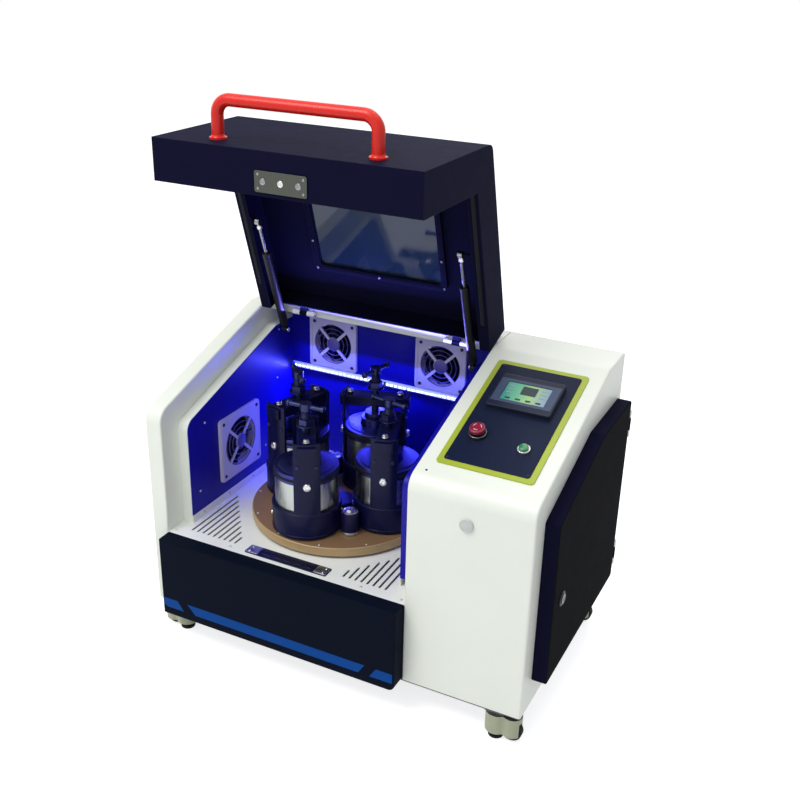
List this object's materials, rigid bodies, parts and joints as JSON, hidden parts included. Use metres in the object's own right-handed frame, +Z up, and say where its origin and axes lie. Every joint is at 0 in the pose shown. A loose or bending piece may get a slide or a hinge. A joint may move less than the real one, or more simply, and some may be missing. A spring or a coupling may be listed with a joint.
{
  "type": "planetary ball mill",
  "caption": "Bench-top planetary ball mill: cabinet with tilting glazed hood, geared turntable carrying clamped grinding jars, sloping control panel, hinged side door and levelling casters.",
  "frame": {"origin": "centre of the overall bounding box's bottom, on the floor", "axes": "+Z up, -Y the operator's side with the front panel, +X towards the control cabinet and side door"},
  "size_m": [0.935, 0.568, 1.2275],
  "materials": {
    "cabinet_paint": "ivory powder coat, fine texture",
    "hood_paint": "black powder coat, fine texture",
    "panel_paint": "dark blue-black paint, satin",
    "liner_paint": "deep blue enamel, satin",
    "frame_steel": "grey primer",
    "machined_steel": "machined",
    "table_bronze": "bronze-brown anodised look, satin",
    "seat_steel": "blued dark steel, semi-gloss",
    "clamp_steel": "bright machined",
    "led_diffuser": "milky diffuser",
    "safety_glass": "clear polycarbonate",
    "handle_red": "red gloss paint",
    "bright_plate": "polished",
    "panel_film": "dark blue control film",
    "lime_trim": "lime green paint",
    "screen_plastic": "grey-blue bezel",
    "fitting_plastic": "black fittings",
    "estop_plastic": "red mushroom head",
    "fan_plastic": "off-white fan",
    "strut_black": "black gas cylinder",
    "strut_chrome": "chromed rod",
    "motor_paint": "blue-grey motor paint",
    "belt_rubber": "matt",
    "electronics_case": "dark grey case",
    "caster_housing": "ivory cast housing",
    "caster_tread": "matt black"
  },
  "bodies": {
    "cabinet": {"base_frame": "frame_steel", "left_cheek": "cabinet_paint", "control_cabinet": "cabinet_paint", "rear_panel": "cabinet_paint", "deck_plate": "cabinet_paint", "front_panel": "panel_paint", "chamber_liner": "liner_paint", "led_strip": "led_diffuser", "latch_receiver": "bright_plate", "control_faceplate": "panel_film", "faceplate_frame": "lime_trim", "touch_screen": "screen_plastic", "panel_fittings": "fitting_plastic", "fan_frames": "fan_plastic", "motor_inverter": "electronics_case", "drive_motor": "motor_paint", "drive_belt": "belt_rubber", "spindle_housing": "machined_steel"},
    "motor_pulley": {"motor_pulley": "machined_steel"},
    "turntable": {"turntable": "table_bronze", "main_spindle": "machined_steel"},
    "station_1": {"jar_seat_1": "seat_steel", "grinding_jar_1": "clamp_steel", "clamp_bar_1": "seat_steel"},
    "clamp_1": {"clamp_screw_1": "clamp_steel"},
    "station_2": {"jar_seat_2": "seat_steel", "grinding_jar_2": "clamp_steel", "clamp_bar_2": "seat_steel"},
    "clamp_2": {"clamp_screw_2": "clamp_steel"},
    "station_3": {"jar_seat_3": "seat_steel", "grinding_jar_3": "clamp_steel", "clamp_bar_3": "seat_steel"},
    "clamp_3": {"clamp_screw_3": "clamp_steel"},
    "station_4": {"jar_seat_4": "seat_steel", "grinding_jar_4": "clamp_steel", "clamp_bar_4": "seat_steel"},
    "clamp_4": {"clamp_screw_4": "clamp_steel"},
    "hood": {"lid_shell": "hood_paint", "window_glass": "safety_glass", "lid_handle": "handle_red", "lock_plate": "bright_plate"},
    "strut_cylinder_left": {"strut_cylinder_left": "strut_black"},
    "strut_rod_left": {"strut_rod_left": "strut_chrome"},
    "strut_cylinder_right": {"strut_cylinder_right": "strut_black"},
    "strut_rod_right": {"strut_rod_right": "strut_chrome"},
    "estop_button": {"estop_button": "estop_plastic"},
    "start_button": {"start_button": "strut_chrome"},
    "fan_rotor_rear_left": {"fan_rotor_rear_left": "fan_plastic"},
    "fan_rotor_rear_right": {"fan_rotor_rear_right": "fan_plastic"},
    "fan_rotor_side": {"fan_rotor_side": "fan_plastic"},
    "side_door": {"side_door": "hood_paint"},
    "door_lock": {"door_lock": "bright_plate"},
    "caster_yoke_front_left": {"caster_yoke_front_left": "caster_housing"},
    "caster_wheel_front_left": {"caster_wheel_front_left": "caster_tread"},
    "caster_yoke_rear_left": {"caster_yoke_rear_left": "caster_housing"},
    "caster_wheel_rear_left": {"caster_wheel_rear_left": "caster_tread"},
    "caster_yoke_front_right": {"caster_yoke_front_right": "caster_housing"},
    "caster_wheel_front_right": {"caster_wheel_front_right": "caster_tread"},
    "caster_yoke_rear_right": {"caster_yoke_rear_right": "caster_housing"},
    "caster_wheel_rear_right": {"caster_wheel_rear_right": "caster_tread"}
  },
  "joints": [
    {"name": "lid_hinge", "type": "hinge", "parent": "cabinet", "child": "hood", "pos_m": [-0.1295, 0.192, 0.671], "axis": [1, 0, 0], "range_deg": [0, 90]},
    {"name": "strut_swing_left", "type": "hinge", "parent": "cabinet", "child": "strut_cylinder_left", "pos_m": [-0.3845, 0.194, 0.619], "axis": [1, 0, 0], "range_deg": [0, 82.4]},
    {"name": "strut_slide_left", "type": "slide", "parent": "strut_cylinder_left", "child": "strut_rod_left", "axis": [0, -0.3366, 0.9416], "range_m": [-0.0635, 0]},
    {"name": "strut_swing_right", "type": "hinge", "parent": "cabinet", "child": "strut_cylinder_right", "pos_m": [0.1135, 0.194, 0.619], "axis": [1, 0, 0], "range_deg": [0, 82.4]},
    {"name": "strut_slide_right", "type": "slide", "parent": "strut_cylinder_right", "child": "strut_rod_right", "axis": [0, -0.3366, 0.9416], "range_m": [-0.0635, 0]},
    {"name": "table_spin", "type": "hinge", "parent": "cabinet", "child": "turntable", "pos_m": [-0.1295, 0.024, 0.272], "axis": [0, 0, 1], "continuous": true},
    {"name": "motor_spin", "type": "hinge", "parent": "cabinet", "child": "motor_pulley", "pos_m": [0.3, 0.024, 0.098], "axis": [0, 0, 1], "continuous": true},
    {"name": "planet_spin_1", "type": "hinge", "parent": "turntable", "child": "station_1", "pos_m": [-0.14731, -0.10275, 0.296], "axis": [0, 0, 1], "continuous": true},
    {"name": "clamp_turn_1", "type": "hinge", "parent": "station_1", "child": "clamp_1", "pos_m": [-0.14731, -0.10275, 0.498], "axis": [0, 0, 1], "range_deg": [0, 360]},
    {"name": "planet_spin_2", "type": "hinge", "parent": "turntable", "child": "station_2", "pos_m": [-0.00275, 0.00619, 0.296], "axis": [0, 0, 1], "continuous": true},
    {"name": "clamp_turn_2", "type": "hinge", "parent": "station_2", "child": "clamp_2", "pos_m": [-0.00275, 0.00619, 0.498], "axis": [0, 0, 1], "range_deg": [0, 360]},
    {"name": "planet_spin_3", "type": "hinge", "parent": "turntable", "child": "station_3", "pos_m": [-0.11169, 0.15075, 0.296], "axis": [0, 0, 1], "continuous": true},
    {"name": "clamp_turn_3", "type": "hinge", "parent": "station_3", "child": "clamp_3", "pos_m": [-0.11169, 0.15075, 0.498], "axis": [0, 0, 1], "range_deg": [0, 360]},
    {"name": "planet_spin_4", "type": "hinge", "parent": "turntable", "child": "station_4", "pos_m": [-0.25625, 0.04181, 0.296], "axis": [0, 0, 1], "continuous": true},
    {"name": "clamp_turn_4", "type": "hinge", "parent": "station_4", "child": "clamp_4", "pos_m": [-0.25625, 0.04181, 0.498], "axis": [0, 0, 1], "range_deg": [0, 360]},
    {"name": "fan_spin_rear_left", "type": "hinge", "parent": "cabinet", "child": "fan_rotor_rear_left", "pos_m": [-0.2815, 0.254, 0.581], "axis": [0, -1, 0], "continuous": true},
    {"name": "fan_spin_rear_right", "type": "hinge", "parent": "cabinet", "child": "fan_rotor_rear_right", "pos_m": [0.0085, 0.254, 0.581], "axis": [0, -1, 0], "continuous": true},
    {"name": "fan_spin_side", "type": "hinge", "parent": "cabinet", "child": "fan_rotor_side", "pos_m": [-0.4015, 0.002, 0.396], "axis": [1, 0, 0], "continuous": true},
    {"name": "estop_press", "type": "slide", "parent": "cabinet", "child": "estop_button", "axis": [0, 0.3038, -0.9527], "range_m": [0, 0.005], "stiffness_N_per_m": 800, "springref_m": -0.001},
    {"name": "start_press", "type": "slide", "parent": "cabinet", "child": "start_button", "axis": [0, 0.3038, -0.9527], "range_m": [0, 0.004], "stiffness_N_per_m": 500, "springref_m": -0.001},
    {"name": "door_hinge", "type": "hinge", "parent": "cabinet", "child": "side_door", "pos_m": [0.4585, 0.269, 0.364], "axis": [0, 0, 1], "range_deg": [0, 110]},
    {"name": "lock_turn", "type": "hinge", "parent": "side_door", "child": "door_lock", "pos_m": [0.4635, -0.14, 0.316], "axis": [1, 0, 0], "range_deg": [0, 90]},
    {"name": "caster_swivel_front_left", "type": "hinge", "parent": "cabinet", "child": "caster_yoke_front_left", "pos_m": [-0.4095, -0.219, 0.063], "axis": [0, 0, 1], "continuous": true},
    {"name": "caster_roll_front_left", "type": "hinge", "parent": "caster_yoke_front_left", "child": "caster_wheel_front_left", "pos_m": [-0.4435, -0.219, 0.025], "axis": [0, -1, 0], "continuous": true},
    {"name": "caster_swivel_rear_left", "type": "hinge", "parent": "cabinet", "child": "caster_yoke_rear_left", "pos_m": [-0.4095, 0.251, 0.063], "axis": [0, 0, 1], "continuous": true},
    {"name": "caster_roll_rear_left", "type": "hinge", "parent": "caster_yoke_rear_left", "child": "caster_wheel_rear_left", "pos_m": [-0.4435, 0.251, 0.025], "axis": [0, -1, 0], "continuous": true},
    {"name": "caster_swivel_front_right", "type": "hinge", "parent": "cabinet", "child": "caster_yoke_front_right", "pos_m": [0.3745, -0.219, 0.063], "axis": [0, 0, 1], "continuous": true},
    {"name": "caster_roll_front_right", "type": "hinge", "parent": "caster_yoke_front_right", "child": "caster_wheel_front_right", "pos_m": [0.4085, -0.219, 0.025], "axis": [0, 1, 0], "continuous": true},
    {"name": "caster_swivel_rear_right", "type": "hinge", "parent": "cabinet", "child": "caster_yoke_rear_right", "pos_m": [0.3745, 0.251, 0.063], "axis": [0, 0, 1], "continuous": true},
    {"name": "caster_roll_rear_right", "type": "hinge", "parent": "caster_yoke_rear_right", "child": "caster_wheel_rear_right", "pos_m": [0.4085, 0.251, 0.025], "axis": [0, 1, 0], "continuous": true}
  ],
  "couplings": [
    {"joint": "strut_swing_left", "follows": "lid_hinge", "ratio": 0.91135},
    {"joint": "strut_slide_left", "follows": "lid_hinge", "m_per_rad": -0.040035},
    {"joint": "strut_swing_right", "follows": "lid_hinge", "ratio": 0.91135},
    {"joint": "strut_slide_right", "follows": "lid_hinge", "m_per_rad": -0.040035},
    {"joint": "motor_spin", "follows": "table_spin", "ratio": 2.5},
    {"joint": "planet_spin_1", "follows": "table_spin", "ratio": 2.2},
    {"joint": "planet_spin_2", "follows": "table_spin", "ratio": 2.2},
    {"joint": "planet_spin_3", "follows": "table_spin", "ratio": 2.2},
    {"joint": "planet_spin_4", "follows": "table_spin", "ratio": 2.2}
  ]
}
